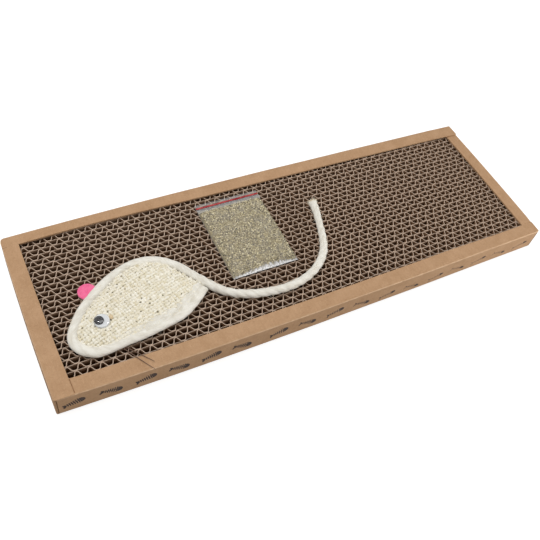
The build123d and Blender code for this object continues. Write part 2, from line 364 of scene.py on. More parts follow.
def strip_faces(count):
    """Faces of a thin closed strip that has four points at each of its steps."""
    last = 4 * (count - 1)
    faces = [(0, 2, 3, 1), (last, last + 1, last + 3, last + 2)]
    for a in range(0, last, 4):
        for i, j in ((0, 1), (3, 2), (1, 3), (2, 0)):
            faces.append((a + i, a + j, a + j + 4, a + i + 4))
    return faces


def ribbon(line, width, across, out):
    """A thin solid strip along a line, spread both ways along across and standing out along out."""
    points = []
    for p in line:
        for spread in (-0.5, 0.5):
            points.append(p + across * (spread * width) - out)
            points.append(p + across * (spread * width) + out)
    return points, strip_faces(len(line))


def gather(parts):
    """One list of points and one of faces from several."""
    points = []
    faces = []
    for more_points, more_faces in parts:
        start = len(points)
        points += more_points
        faces += [tuple(start + k for k in face) for face in more_faces]
    return points, faces


def plain_paper(name, tone, shade, light, fineness, strength):
    """A material of bare paper or card."""
    material, tree, shader = new_material(name, roughness=0.9, specular_ior_level=0.2)
    fibres = pulp(tree, put(tree, "TexCoord").outputs["Object"], tone, shade, light, fineness)
    coat(tree, shader, fibres["Colour"], fibres["Height"], strength, 0.0002)
    return material


# painted light: the paper of the cut edges is paler than the board, which lifts the shade on these upright
# edges
lit_edge_paper = plain_paper(
    "lit_edge_paper", tint(206, 170, 132), tint(182, 144, 108), tint(222, 192, 158), fineness=900.0, strength=0.3
)
edge_parts = []
reach = half_length - flange_width
count = int(2 * reach / (edge_pitch / 6))
stations = [-reach + 2 * reach * n / count for n in range(count + 1)]
for edge_y, top, out_way in (
    (half_width - flange_width, lower_flange_top + board, -1),
    (-half_width + flange_width, lower_flange_top, 1),
):
    out = Vector((0, out_way * edge_proud, 0))
    for level, width, swing in (
        (top - 0.5 * edge_paper, edge_paper, 0),
        (top - board + 0.5 * edge_paper, edge_paper, 0),
        (top - 0.5 * board, 0.8 * edge_paper, 0.5 * board - 0.9 * edge_paper),
    ):
        line = []
        for x in stations:
            zigzag = swing * math.sin(2 * math.pi * x / edge_pitch)
            line.append(board_give(Vector((x, edge_y, level + zigzag))))
        edge_parts.append(ribbon(line, width, Vector((0, 0, 1)), out))
show("flange_cut_edges", gather(edge_parts), lit_edge_paper, "scratcher", "kraft_board")

# painted shadow: dark strips on the lower flanges where the left flange laps over the front one and the back
# flange over the right one, standing for the shade in the gaps
lap_seam_shadow, tree, shader = new_material("lap_seam_shadow", roughness=0.95, specular_ior_level=0.1)
painted_light_mottle = mottled(tree, tint(130, 96, 66), tint(158, 122, 90), 0.35, 0.65, 500, 3)
tree.links.new(painted_light_mottle["Colour"], shader.inputs["Base Color"])
shadow_lift = Vector((0, 0, 0.05 * mm))
left_seam = []
right_seam = []
for n in range(13):
    y = -half_width + flange_width - 0.1 * mm - (flange_width - 1.6 * mm) * n / 12
    left_seam.append(board_give(Vector((-half_length + flange_width + 0.45 * mm, y, lower_flange_top))))
    x = half_length - flange_width + 0.1 * mm + (flange_width - 2.4 * mm) * n / 12
    right_seam.append(board_give(Vector((x, half_width - flange_width - 0.75 * mm, lower_flange_top))))
lap_shadows = [
    ribbon(left_seam, 0.6 * mm, Vector((1, 0, 0)), shadow_lift),
    ribbon(right_seam, 0.9 * mm, Vector((0, 1, 0)), shadow_lift),
]
show("flange_lap_shadow", gather(lap_shadows), lap_seam_shadow, "scratcher", "kraft_board")


# Printed row on the walls: plain fishbones in dark ink, tipped up and down by turns. The ink is a
# film on the board, so each figure is a thin skin that follows the bowed wall.
ink_skin = 0.04 * mm
fish_length = 17.4 * mm


def bar(start, end, start_width, end_width):
    """A straight tapering stroke as its two matching sides."""
    along = (end - start).normalized()
    side = Vector((-along.y, along.x))
    left = []
    right = []
    for n in range(5):
        t = n / 4
        half = 0.5 * (start_width + (end_width - start_width) * t)
        left.append(start.lerp(end, t) + side * half)
        right.append(start.lerp(end, t) - side * half)
    return left, right


def fishbone(weight):
    """Strokes of one fishbone, head to the right, about its middle. weight is how heavily it is inked."""
    nose = 0.5 * fish_length
    cheek = nose - 4.0 * mm
    fork = -0.5 * fish_length + 2.4 * mm
    strokes = [bar(Vector((fork, 0)), Vector((cheek + 0.4 * mm, 0)), 0.55 * weight * mm, 0.65 * weight * mm)]
    for n in range(7):
        t = n / 6
        foot = fork + 0.6 * mm + (cheek - fork - 1.2 * mm) * t
        half = (1.4 + 1.6 * t) * mm
        for way in (1, -1):
            rib_end = Vector((foot - 0.15 * mm, way * half * math.sqrt(weight)))
            strokes.append(bar(Vector((foot, 0)), rib_end, 0.64 * weight * mm, 0.56 * weight * mm))
    head_top = []
    head_low = []
    for n in range(13):
        t = n / 12
        half = 2.6 * math.sqrt(weight) * mm * math.sqrt(max(1 - t ** 2.2, 0.0))
        head_top.append(Vector((cheek + (nose - cheek) * t, half)))
        head_low.append(Vector((cheek + (nose - cheek) * t, -half)))
    strokes.append((head_top, head_low))
    for way, long in ((1, 1.7 * mm), (-1, 3.0 * mm)):
        knee = Vector((fork - 0.6 * mm, way * 0.45 * long))
        first = bar(Vector((fork + 0.9 * mm, 0)), knee, 0.7 * weight * mm, 1.3 * weight * mm)
        second = bar(knee, Vector((fork - 1.2 * mm, way * long)), 1.3 * weight * mm, 0.8 * weight * mm)
        strokes.append((first[0] + second[0], first[1] + second[1]))
    return strokes


def print_on(out, place, level, tilt, weight):
    """One fishbone as thin solids on the wall that faces out, at a place along it."""
    parts = []
    turn = Matrix.Rotation(tilt, 2)
    for left, right in fishbone(weight):
        points = []
        for pair in zip(left, right):
            for p in pair:
                flat = turn @ p
                along = place + flat.x
                x = out.x * half_length - out.y * along
                y = out.y * half_width + out.x * along
                foot = board_give(Vector((x, y, level + flat.y)))
                points += [foot - out * ink_skin, foot + out * ink_skin]
        parts.append((points, strip_faces(len(left))))
    return gather(parts)


ink, tree, shader = new_material("print_ink", roughness=0.72, specular_ior_level=0.3)
patchy = mottled(tree, tint(66, 48, 37), tint(38, 27, 21), 0.34, 0.66, 900, 4, roughness=0.7)
coat(tree, shader, patchy["Colour"], patchy["Height"], 0.2, 0.0001)

# the row steps wider after the sixth figure, where the printing plate begins again, and the plate
# presses harder at the start of the row than at its end
long_row = [-212.4 + 25.9 * n for n in range(6)] + [-50.8 + 26.42 * n for n in range(7)]
long_row += [132.3 + 24.8 * n for n in range(4)]
short_row = [-52.5 + 26.25 * n for n in range(5)]
tip = math.radians(14)
for name, out, row in (
    ("front_print", Vector((0, -1, 0)), long_row),
    ("back_print", Vector((0, 1, 0)), long_row),
    ("left_print", Vector((-1, 0, 0)), short_row),
    ("right_print", Vector((1, 0, 0)), short_row),
):
    figures = []
    for n, middle in enumerate(row):
        press = 1.5 - 1.1 * ease(middle, -115, 115)
        level = (10.6 - 2.9 * ease(middle, 10, 60) + 1.5 * ease(middle, 105, 132)) * mm
        figures.append(print_on(out, middle * mm, level, tip if n % 2 == 0 else -tip, press))
    show(name, gather(figures), ink, "scratcher", "kraft_board")


# Core: strips of single-faced corrugated paper, one straight liner with one waved sheet glued to it,
# stood on edge and glued side by side. The cut rims are a little ragged, and each strip sits at its
# own step along the wave.
paper = 0.62 * mm
liner = 0.42 * mm
wave_pitch = 9.27 * mm
rim_depth = 2.5 * mm
rim_level = 20.5 * mm

core_paper, tree, shader = new_material("core_paper", roughness=0.9, specular_ior_level=0.2)
place = put(tree, "TexCoord").outputs["Object"]
fibres = pulp(tree, place, tint(122, 82, 46), tint(104, 66, 32), tint(146, 110, 76), 520.0)
# painted light and shade: the walls are paler towards the cut rims and darker deep in the cells where the
# shade falls, less pale on the flanks that turn sideways, and the up-facing rims are paler still as a
# highlight
level = put(tree, "SeparateXYZ", {"Vector": place}).outputs["Z"]
inputs = {"Value": level, "From Min": rim_level - 6 * mm, "From Max": rim_level - 0.6 * mm}
depth = put(tree, "MapRange", inputs).outputs["Result"]
rim_light = ramp(tree, depth, (0.0, 0), (0.55, 0.35), (0.8, 0.8), (1.0, 0.95))
facing = put(tree, "SeparateXYZ", {"Vector": put(tree, "NewGeometry").outputs["True Normal"]}).outputs
aside = put(tree, "Math", {0: facing["X"]}, operation="ABSOLUTE").outputs[0]
rim_light_by_facing = mix(tree, 1.0, rim_light, ramp(tree, aside, (0.1, 1), (0.5, 0.35)), "MULTIPLY")
walls = mix(tree, rim_light_by_facing, fibres["Colour"], tint(178, 149, 123))
walls = mix(tree, ramp(tree, facing["Z"], (0.55, 0), (0.8, 1)), walls, tint(188, 166, 147))
coat(tree, shader, walls, fibres["Height"], 0.25, 0.0002)


def standing_sheet(xs, ys, thickness, levels, ragged):
    """A sheet of paper standing on edge along a plan line, with a ragged top rim."""
    slope = np.gradient(np.stack([xs, ys], 1), axis=0)
    slope /= np.linalg.norm(slope, axis=1)[:, None]
    side = np.stack([-slope[:, 1], slope[:, 0]], 1) * (0.5 * thickness)
    count = len(xs)
    points = []
    for n, level in enumerate(levels):
        frayed = ragged if n == len(levels) - 1 else 0 * ragged
        for way in (-1, 1):
            plan = np.stack([xs, ys], 1) + way * side + frayed[:, :2]
            points += list(np.column_stack([plan, level + frayed[:, 2]]))
    faces = []
    for n in range(len(levels) - 1):
        low_in = 2 * n * count
        low_out = low_in + count
        up_in = low_out + count
        up_out = up_in + count
        for k in range(count - 1):
            faces.append((low_in + k, low_in + k + 1, up_in + k + 1, up_in + k))
            faces.append((low_out + k + 1, low_out + k, up_out + k, up_out + k + 1))
        for k in (0, count - 1):
            faces.append((low_in + k, up_in + k, up_out + k, low_out + k))
    top_in = 2 * (len(levels) - 1) * count
    for k in range(count - 1):
        faces.append((top_in + k, top_in + k + 1, top_in + count + k + 1, top_in + count + k))
        faces.append((k + 1, k, count + k, count + k + 1))
    return points, faces


def rag(rng, xs, sway, lift):
    """Small sideways and upward wander of a cut rim, smooth over a few millimetres."""
    wander = np.zeros((len(xs), 3))
    for column, size in ((1, sway), (2, lift)):
        for _ in range(4):
            swing = rng.uniform(0.5, 1.0) * size * 0.5
            wander[:, column] += swing * np.sin(xs * rng.uniform(250, 1300) + rng.uniform(0, 6.3))
    return wander


strip_names = sorted(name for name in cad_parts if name.startswith("core_strip_"))
step_rng = random.Random(5)
wave_start = 0.0
for n, name in enumerate(strip_names):
    rng = random.Random(40 + n)
    low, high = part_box(name)
    levels = (low[2], high[2] - rim_depth, high[2])
    liner_x = np.linspace(low[0], high[0], 150)
    liner_y = np.full_like(liner_x, low[1] + 0.5 * liner)
    flat = standing_sheet(liner_x, liner_y, liner, levels, rag(rng, liner_x, 0.1 * mm, 0.12 * mm))
    wave_x = np.linspace(low[0], high[0], 16 * int((high[0] - low[0]) / wave_pitch) + 1)
    wave_start += step_rng.uniform(-3.0, 4.0) * mm
    turn = 2 * np.pi * (wave_x - wave_start) / wave_pitch
    turn += rng.uniform(0.1, 0.3) * np.sin(wave_x * rng.uniform(18, 40) + rng.uniform(0, 6.3))
    # broad bends towards the front, narrow ones towards the back, and one flank steeper than the other
    bend = np.tanh(1.7 * (np.sin(turn) + 0.1 * np.sin(2 * turn) - 0.3))
    bend = (bend - bend.min()) / (bend.max() - bend.min())
    wave_y = low[1] + liner + 0.4 * paper + (high[1] - low[1] - liner - 0.8 * paper) * bend
    waved = standing_sheet(wave_x, wave_y, paper, levels, rag(rng, wave_x, 0.16 * mm, 0.12 * mm))
    show(name + "_paper", gather([flat, waved]), core_paper, "scratcher", "core_paper", name, smooth=50)


# Mouse rope: soft three-strand sisal rope, sewn round the edge of the two mats from the belly to the
# rump, and running on past the rump as the tail. Its line gives the mats their outline.
mouse_middle = Vector((-148 * mm, -18 * mm))
rope_radius = 3.75 * mm
rope_level = 24.55 * mm
rope_lay = 25 * mm
edge_route = (
    (54.2, -7.1), (47.6, -12), (41, -16.9), (30, -23), (15, -26.8), (-2, -29.4), (-19, -31.2),
    (-33, -31.6), (-43, -29.2), (-50.3, -23), (-52.6, -15), (-48.5, -6), (-39, 6), (-24, 17),
    (-6, 28), (7, 32.5), (20, 32.6), (32, 27.8), (42.5, 18.2), (49.5, 7.2), (54.65, 0.9),
)
tail_route = (
    (54.65, 0.9), (59, -6.3), (69.8, -18.3), (85, -26), (102, -29.7), (118.9, -31), (136.2, -28.4),
    (152.8, -20.3), (165, -8.2), (171.7, 6.5), (176.6, 22.6), (180.2, 33.6), (182, 43.7),
)


def rope_line(route):
    """Points along the smooth line that a laid rope takes by its route."""
    curve = bpy.data.curves.new("rope_line", "CURVE")
    curve.dimensions = "3D"
    curve.resolution_u = 20
    spline = curve.splines.new("NURBS")
    spline.points.add(len(route) - 1)
    for point, (x, y) in zip(spline.points, route):
        point.co = (mouse_middle.x + x * mm, mouse_middle.y + y * mm, rope_level, 1)
    spline.order_u = 3
    spline.use_endpoint_u = True
    holder = bpy.data.objects.new("rope_line", curve)
    bpy.context.scene.collection.objects.link(holder)
    line = bpy.data.meshes.new_from_object(holder)
    points = np.array([v.co[:] for v in line.vertices])
    bpy.data.objects.remove(holder)
    bpy.data.curves.remove(curve)
    bpy.data.meshes.remove(line)
    return points


def evenly(points, step):
    """The same line with its points an even step apart, and the distance run at each."""
    run = np.concatenate([[0], np.cumsum(np.linalg.norm(np.diff(points, axis=0), axis=1))])
    marks = np.linspace(0, run[-1], int(round(run[-1] / step)) + 1)
    return np.column_stack([np.interp(marks, run, points[:, k]) for k in range(3)]), marks


def strand_reach(angle, strand):
    """Distance from a rope's middle to its skin, as a share of its radius: three strands side by side."""
    third = 2 * np.pi / 3
    off = np.mod(angle + third / 2, third) - third / 2
    middle = 1 - strand
    return middle * np.cos(off) + np.sqrt(strand ** 2 - (middle * np.sin(off)) ** 2)


def turns(count):
    """The angles of points spaced evenly round a ring."""
    return [2 * math.pi * k / count for k in range(count)]


def ring_faces(rings, sides, start=0):
    """Faces between rings of points that follow one another, each ring closed on itself."""
    faces = []
    for n in range(rings - 1):
        for k in range(sides):
            a = start + n * sides + k
            b = start + n * sides + (k + 1) % sides
            faces.append((a, b, b + sides, a + sides))
    return faces


def tube_faces(rings, sides):
    """Faces of a tube made of rings of points, with both ends closed."""
    ends = [tuple(range(sides - 1, -1, -1)), tuple(range((rings - 1) * sides, rings * sides))]
    return ring_faces(rings, sides) + ends


def twisted_rope(line, marks, broad, tall, shift, strand, begin_turn, sides=36, seed=5.0):
    """A rope's skin round a level line, its strands turning. At each mark, broad and tall are its half
    sizes, shift its step to the left and strand each strand's share of the rope's radius."""
    ahead = np.gradient(line, axis=0)
    ahead /= np.linalg.norm(ahead, axis=1)[:, None]
    side = np.column_stack([-ahead[:, 1], ahead[:, 0], 0 * ahead[:, 0]])
    points = []
    lays = []
    for n, mark in enumerate(marks):
        turn = begin_turn + 2 * math.pi * mark / rope_lay
        for angle in turns(sides):
            fuzz = uneven(mark * 260, 2.2 * math.cos(angle), 2.2 * math.sin(angle) + seed)
            reach = strand_reach(angle - turn, strand[n]) + 0.03 * fuzz
            spread = side[n] * (shift[n] + broad[n] * reach * math.cos(angle))
            points.append(line[n] + spread + np.array([0, 0, tall[n] * reach * math.sin(angle)]))
            lays.append((mark * 330, 3.6 * math.cos(angle - 0.5 * turn), 3.6 * math.sin(angle - 0.5 * turn)))
    return points, tube_faces(len(marks), sides), lays


# yarn_fibre: streaks along spun fibre with paler and browner stretches, for rope and yarn
yarn_fibre, given, made = new_group(
    "yarn_fibre",
    (("Lay", "Vector"), ("Tone", "Color"), ("Shade", "Color"), ("Light", "Color")),
    (("Colour", "Color"), ("Height", "Float")),
)
streaks = put(yarn_fibre, "TexNoise", {"Vector": given["Lay"], "Scale": 1.0, "Detail": 3, "Roughness": 0.6})
spread_noises = []
for stretch in ((0.5, 4.5, 4.5), (0.36, 0.3, 0.3)):
    laid = put(yarn_fibre, "Mapping", {"Vector": given["Lay"], "Scale": stretch}).outputs["Vector"]
    spread = put(yarn_fibre, "TexNoise", {"Vector": laid, "Scale": 1.0, "Detail": 2})
    spread_noises.append(spread.outputs["Fac"])
hairs, stretches = spread_noises
browner = ramp(yarn_fibre, stretches, (0.36, 0), (0.68, 1))
tone = mix(yarn_fibre, browner, given["Tone"], given["Shade"])
tone = mix(yarn_fibre, ramp(yarn_fibre, streaks.outputs["Fac"], (0.5, 0), (0.75, 0.8)), tone, given["Light"])
tone = mix(yarn_fibre, ramp(yarn_fibre, hairs, (0.26, 0.4), (0.42, 0)), tone, given["Shade"])
relief = put(yarn_fibre, "Math", {0: streaks.outputs["Fac"], 1: hairs}, operation="ADD")
yarn_fibre.links.new(tone, made["Colour"])
yarn_fibre.links.new(relief.outputs[0], made["Height"])


def spun_material(name, tone, shade, light, strength):
    """A spun-fibre material: streaks along the lay, soft sheen, raised fibres."""
    material, tree, shader = new_material(name, roughness=0.9, specular_ior_level=0.2, sheen_weight=0.3)
    lay = put(tree, "Attribute", attribute_name="lay").outputs["Vector"]
    inputs = {"Lay": lay, "Tone": tone, "Shade": shade, "Light": light}
    fibre = put(tree, "Group", inputs, node_tree=yarn_fibre).outputs
    coat(tree, shader, fibre["Colour"], fibre["Height"], strength, 0.0004)
    return material


rope_fibre = spun_material("sisal_rope", tint(238, 234, 223), tint(222, 216, 202), tint(247, 245, 237), 0.4)
edge_line, edge_marks = evenly(rope_line(edge_route), 0.8 * mm)
edge_share = edge_marks / edge_marks[-1]
# the rope is pressed flat along the belly and the nose, and round where it leaves the rump
edge_out = rope_radius + np.interp(
    edge_share,
    (0, 0.06, 0.11, 0.17, 0.24, 0.29, 0.33, 0.38, 0.43, 0.48, 0.53, 0.6, 0.66, 0.74, 0.86, 0.94, 1),
    (0.4, 0.9, 1.6, 0.7, 1.0, 0.2, 0.9, 3.0, 2.2, 0.3, -0.2, 0.5, 1.2, 0.4, 0.8, 0.6, 0),
) * mm
edge_width = edge_out + np.interp(
    edge_share,
    (0, 0.05, 0.12, 0.27, 0.33, 0.38, 0.43, 0.48, 0.6, 0.8, 0.95, 1),
    (0.0, 3.75, 4.5, 4.3, 3.4, 1.6, 2.4, 4.3, 4.1, 3.4, 3.3, 3.75),
) * mm
edge_tall = np.interp(edge_share, (0, 0.06, 0.35, 0.5, 0.8, 1), (1.6, 3.1, 3.1, 3.5, 3.7, 3.75)) * mm
points, faces, lays = twisted_rope(
    edge_line,
    edge_marks,
    0.5 * edge_width * (1 + 0.02 * np.sin(edge_marks * 190)),
    edge_tall,
    edge_out - 0.5 * edge_width,
    np.interp(edge_share, (0, 0.86, 1), (0.92, 0.92, 0.78)),
    0.0,
)
show(
    "mouse_edge_rope_strands", (points, faces), rope_fibre, "mouse", "sisal_rope", "mouse_edge_rope",
    smooth=80, lay=lays,
)

tail_line, tail_marks = evenly(rope_line(tail_route), 0.8 * mm)
tail_length = tail_marks[-1]
tail_half = rope_radius * (
    0.94 + 0.06 * np.exp(-tail_marks / (12 * mm)) + 0.02 * np.sin(tail_marks * 170)
    - 0.15 * np.exp(-((tail_marks - 158 * mm) / (14 * mm)) ** 2)
    + 0.12 * np.exp((tail_marks - tail_length) / (6 * mm))
)
points, faces, lays = twisted_rope(
    tail_line,
    tail_marks,
    tail_half,
    tail_half,
    0 * tail_marks,
    0.78 + 0 * tail_marks,
    2 * math.pi * edge_marks[-1] / rope_lay,
    seed=9.0,
)
tail = show(
    "mouse_tail_strands", (points, faces), rope_fibre, "mouse", "sisal_rope", "mouse_tail",
    smooth=80, lay=lays,
)


# Mats of the mouse: cream sisal cloth in a coarse plain weave, the top one swelling over the stiffener
# and the under one flat. Each yarn is its own tube, over and under by turns, and its ends are sewn in
# under the rope.
yarn_pitch = 2.45 * mm
yarn_turn = math.radians(16)
yarn_height = 0.85 * mm
yarn_swing = 0.5 * mm
yarn_sway = 0.65 * mm
weft_sink = 0.22 * mm
warp_sink = 0.24 * mm
# in radians to the metre of yarn
strand_turn = -570
front_foot = 25.8 * mm
front_rise = 4 * mm
under_foot = 20.8 * mm

outline = edge_line[:, :2] - np.array(mouse_middle[:])
outline_angles = np.arctan2(outline[:, 1], outline[:, 0])
order = np.argsort(outline_angles)
outline_angles = outline_angles[order]
outline_reach = np.linalg.norm(outline, axis=1)[order]


def round_edge(shares, values):
    """Values at shares of the rope's run, put in the order of the outline's angles."""
    return np.interp(edge_share, shares, values)[order]


# along the belly the mat is drawn up over the rope, elsewhere it dips beside it
inner_reach = outline_reach - mm * round_edge(
    (0, 0.24, 0.3, 0.35, 0.38, 0.43, 0.48, 0.55, 0.68, 0.8, 0.95, 1),
    (0.5, 0.5, 1.2, 1.2, 0.4, 1.4, 3.6, 3.3, 2.3, 1.5, 3.0, 3.4),
)
inner_lift = round_edge((0, 0.1, 0.34, 0.42, 0.7, 0.9, 1), (0.15, 0.52, 0.52, 0.1, 0.2, 0.2, 0.12))
gaping = round_edge((0, 0.44, 0.5, 0.72, 0.85, 1), (0, 0, 1.2, 1.2, 0.8, 0.8))
# beside the start of the tail the seam stands open
seam_open = mm * round_edge((0, 0.87, 0.91, 0.985, 1), (0, 0, 2.1, 2.1, 1.2))


def at_angle(angle, values):
    """A value round the outline at an angle about the mouse's middle."""
    return float(np.interp(angle, outline_angles, values, period=2 * math.pi))


def off_middle(angle, reach):
    """The plan place at an angle and a distance from the mouse's middle."""
    return mouse_middle.x + reach * math.cos(angle), mouse_middle.y + reach * math.sin(angle)


def crown(x, y):
    """Level of the top mat's surface, which dips where it meets the rope."""
    dx = x - mouse_middle.x
    dy = y - mouse_middle.y
    angle = math.atan2(dy, dx)
    share = math.hypot(dx, dy) / at_angle(angle, inner_reach)
    lift = at_angle(angle, inner_lift)
    if share < 1:
        return front_foot + front_rise * (lift + (1 - lift) * (1 - share ** 8))
    return front_foot + front_rise * lift * (1 - ease(share, 1, 1.2))


def sewn_reach(angle):
    """How far out the yarns run. They stop short here and there, which leaves gaps beside the rope where the
    pad's painted shade shows.
    """
    gap = ease(uneven(17 * math.cos(angle), 17 * math.sin(angle), 2), 0.05, 0.28)
    gap = max(3.0 * mm * gap * at_angle(angle, gaping), at_angle(angle, seam_open))
    return at_angle(angle, inner_reach) + 1.2 * mm - gap


def yarn_tube(line, widths, heights, tops, sides, lay_start):
    """A closed tube along a line that runs nearly level, its oval section lobed by three twisted strands."""
    ahead = np.gradient(line, axis=0)
    side = np.column_stack([-ahead[:, 1], ahead[:, 0], 0 * ahead[:, 0]])
    side /= np.linalg.norm(side, axis=1)[:, None]
    run = 0.0
    points = []
    lays = []
    dips = []
    for n in range(len(line)):
        run += 0 if n == 0 else float(np.linalg.norm(line[n] - line[n - 1]))
        for angle in turns(sides):
            lobe = math.cos(3 * (angle - strand_turn * run) + lay_start)
            swell = 1 + 0.1 * lobe
            spread = side[n] * (swell * widths[n] * math.cos(angle))
            points.append(line[n] + spread + np.array([0, 0, swell * heights[n] * math.sin(angle)]))
            lays.append((lay_start + run * 420, 1.5 * math.cos(angle), 1.5 * math.sin(angle)))
            # how deep the point lies under the mat's top and between the strands, for the painted crevice
            # shade
            dips.append(abs(tops[n] - points[-1][2]) / (2 * mm) + 0.2 * max(-lobe, 0.0))
    return points, tube_faces(len(line), sides), lays, dips


pit_reach = 2.2 * mm
pit_push = 1.1 * mm
pit_rng = random.Random(17)
pits = []
for n in range(70):
    angle = pit_rng.uniform(0, 2 * math.pi)
    reach = 0.95 * math.sqrt(pit_rng.random()) * at_angle(angle, inner_reach)
    pits.append(off_middle(angle, reach))
pits = np.array(pits)


def parted(p):
    """The place of a yarn's point once the yarns have drawn apart round the small holes in the cloth."""
    gap = np.hypot(pits[:, 0] - p.x, pits[:, 1] - p.y)
    k = int(np.argmin(gap))
    if gap[k] > pit_reach:
        return p
    return p + (p - Vector(pits[k])).normalized() * (pit_push * (1 - gap[k] / pit_reach))


def woven(surface, up, step, sides, seed):
    """All the yarns of one mat. up is 1 where the surface is the top and -1 where it is the under side."""
    rng = random.Random(seed)
    warp = Vector((math.cos(yarn_turn), math.sin(yarn_turn)))
    weft = Vector((-warp.y, warp.x))
    parts = []
    lays = []
    dips = []
    for run_way, step_way, phase in ((warp, weft, 0), (weft, warp, 1)):
        for k in range(-24, 25):
            wander = rng.uniform(0, 50)
            thick = rng.uniform(0.86, 1.12)
            # the crosswise yarns and every other lengthwise one lie a little deeper
            sunk = weft_sink if phase else warp_sink * (k % 2)
            line = []
            widths = []
            heights = []
            tops = []
            for n in range(int(-64 * mm / step), int(64 * mm / step)):
                t = n * step
                sway = yarn_sway * uneven(t * 120, wander, 2.0)
                p = parted(mouse_middle + run_way * t + step_way * (k * yarn_pitch + sway))
                off = p - mouse_middle
                if off.length > sewn_reach(math.atan2(off.y, off.x)):
                    continue
                lift = yarn_swing * math.cos(math.pi * (t / yarn_pitch + k + phase)) - up * sunk
                lumps = uneven(t * 210, wander, 9.0)
                lumps += 0.5 * uneven(t * 520, wander, 4.0)
                tops.append(surface(p.x, p.y))
                level = tops[-1] - up * (yarn_height + yarn_swing - 0.2 * mm * lumps) + lift
                line.append((p.x, p.y, level))
                widths.append(0.5 * yarn_pitch * thick * (1.03 + 0.24 * lumps))
                heights.append(yarn_height * (1 + 0.2 * lumps))
            if len(line) > 3:
                tube = yarn_tube(np.array(line), widths, heights, tops, sides, rng.uniform(0, 900))
                parts.append(tube[:2])
                lays += tube[2]
                dips += tube[3]
    return gather(parts), lays, dips


def mat_body(surface, depth, rings=26, spokes=120):
    """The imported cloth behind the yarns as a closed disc."""
    spots = [tuple(mouse_middle)]
    for n in range(1, rings + 1):
        share = 0.985 * (n / rings) ** 0.8
        for angle in turns(spokes):
            spots.append(off_middle(angle, share * at_angle(angle, outline_reach)))
    points = [(x, y, surface(x, y)) for x, y in spots] + [(x, y, depth) for x, y in spots]
    back = len(spots)
    rim = back - spokes
    faces = []
    for base in (0, back):
        faces += [(base, base + 1 + k, base + 1 + (k + 1) % spokes) for k in range(spokes)]
        faces += ring_faces(rings, spokes, base + 1)
    for k in range(spokes):
        a = rim + k
        b = rim + (k + 1) % spokes
        faces.append((a, b, back + b, back + a))
    return points, faces


sisal_yarn = spun_material("sisal_yarn", tint(247, 242, 228), tint(226, 215, 186), tint(252, 249, 240), 0.4)
# painted shade: the cloth behind the yarns is painted dark, so that the holes and gaps in the weave show as
# shade
painted_shade_pad = spun_material("painted_shade_pad", tint(92, 77, 52), tint(66, 54, 36), tint(116, 99, 70), 0.5)
# painted shade: the yarn is painted browner where it lies deep in the weave and between its strands, as the
# shade in the crevices
tree = sisal_yarn.node_tree
shader = tree.nodes["Principled BSDF"]
dip = put(tree, "Attribute", attribute_name="dip").outputs["Fac"]
unshaded_yarn = shader.inputs["Base Color"].links[0].from_socket
crevice_shade = mix(tree, ramp(tree, dip, (0.34, 0), (0.9, 0.72)), unshaded_yarn, tint(176, 164, 124))
tree.links.new(crevice_shade, shader.inputs["Base Color"])

form, lays, dips = woven(crown, 1, 0.7 * mm, 12, 3)
show(
    "mouse_front_weave", form, sisal_yarn, "mouse", "sisal_weave", "mouse_front_mat",
    smooth=80, lay=lays, dip=dips,
)
form = mat_body(lambda x, y: max(crown(x, y) - 1.6 * mm, front_foot - 0.4 * mm), front_foot - 1.2 * mm)
front_pad = show(
    "mouse_front_pad", form, painted_shade_pad, "mouse", "sisal_weave", "mouse_front_mat",
    lay=900 * np.array(form[0]),
)
form, lays, dips = woven(lambda x, y: under_foot, -1, 1.1 * mm, 7, 4)
show(
    "mouse_back_weave", form, sisal_yarn, "mouse", "sisal_weave", "mouse_back_mat",
    smooth=80, lay=lays, dip=dips,
)


def sheet_faces(rows, columns):
    """Faces of a thin closed sheet: a grid of points row by row, and the same grid again for its back."""
    back = rows * columns
    faces = []
    for j in range(rows - 1):
        for i in range(columns - 1):
            a = j * columns + i
            quad = (a, a + 1, a + columns + 1, a + columns)
            faces += [quad, tuple(back + k for k in reversed(quad))]
    border = list(range(columns)) + [j * columns + columns - 1 for j in range(1, rows)]
    border += [(rows - 1) * columns + i for i in range(columns - 2, -1, -1)]
    border += [j * columns for j in range(rows - 2, 0, -1)]
    for a, b in zip(border, border[1:] + border[:1]):
        faces.append((a, b, back + b, back + a))
    return faces


hem_inner = -8.5 * mm
hem_width = 9.6 * mm
hem_thick = 0.5 * mm
hem_end = 0.34


def hem(columns=14):
    """The edge of the top mat drawn over the rope along the belly: a thin skin rising from the weave."""
    ahead = np.gradient(edge_line, axis=0)
    ahead /= np.linalg.norm(ahead, axis=1)[:, None]
    count = int(np.searchsorted(edge_share, hem_end))
    points = []
    lays = []
    for n in range(count):
        out = np.array([-ahead[n][1], ahead[n][0], 0])
        fade = ease(edge_share[n], 0.2, 0.33)
        for k in range(columns):
            off = hem_inner + hem_width * k / (columns - 1)
            x, y = (edge_line[n] + out * off)[:2]
            bare = (off - edge_out[n] + 0.5 * edge_width[n]) / (0.5 * edge_width[n])
            rope_top = rope_level + edge_tall[n] * math.sqrt(max(1 - bare * bare, 0.0))
            lump = uneven(x * 300, y * 300, 3)
            lump += 0.6 * uneven(x * 700, y * 700, 5)
            sunk = (1 - ease(off + 2 * mm * lump, -8 * mm, -4.5 * mm)) * 1.5 * mm + 0.9 * mm * fade
            loose = 0.3 * mm * lump * ease(-off, 0, 3 * mm)
            level = max(rope_top, crown(x, y) - 0.25 * mm) + 0.12 * mm + loose - sunk
            points.append((x, y, level))
            lays.append((edge_marks[n] * 260, off * 900, 0.0))
    points += [(x, y, z - hem_thick) for x, y, z in points]
    return (points, sheet_faces(count, columns)), lays + lays


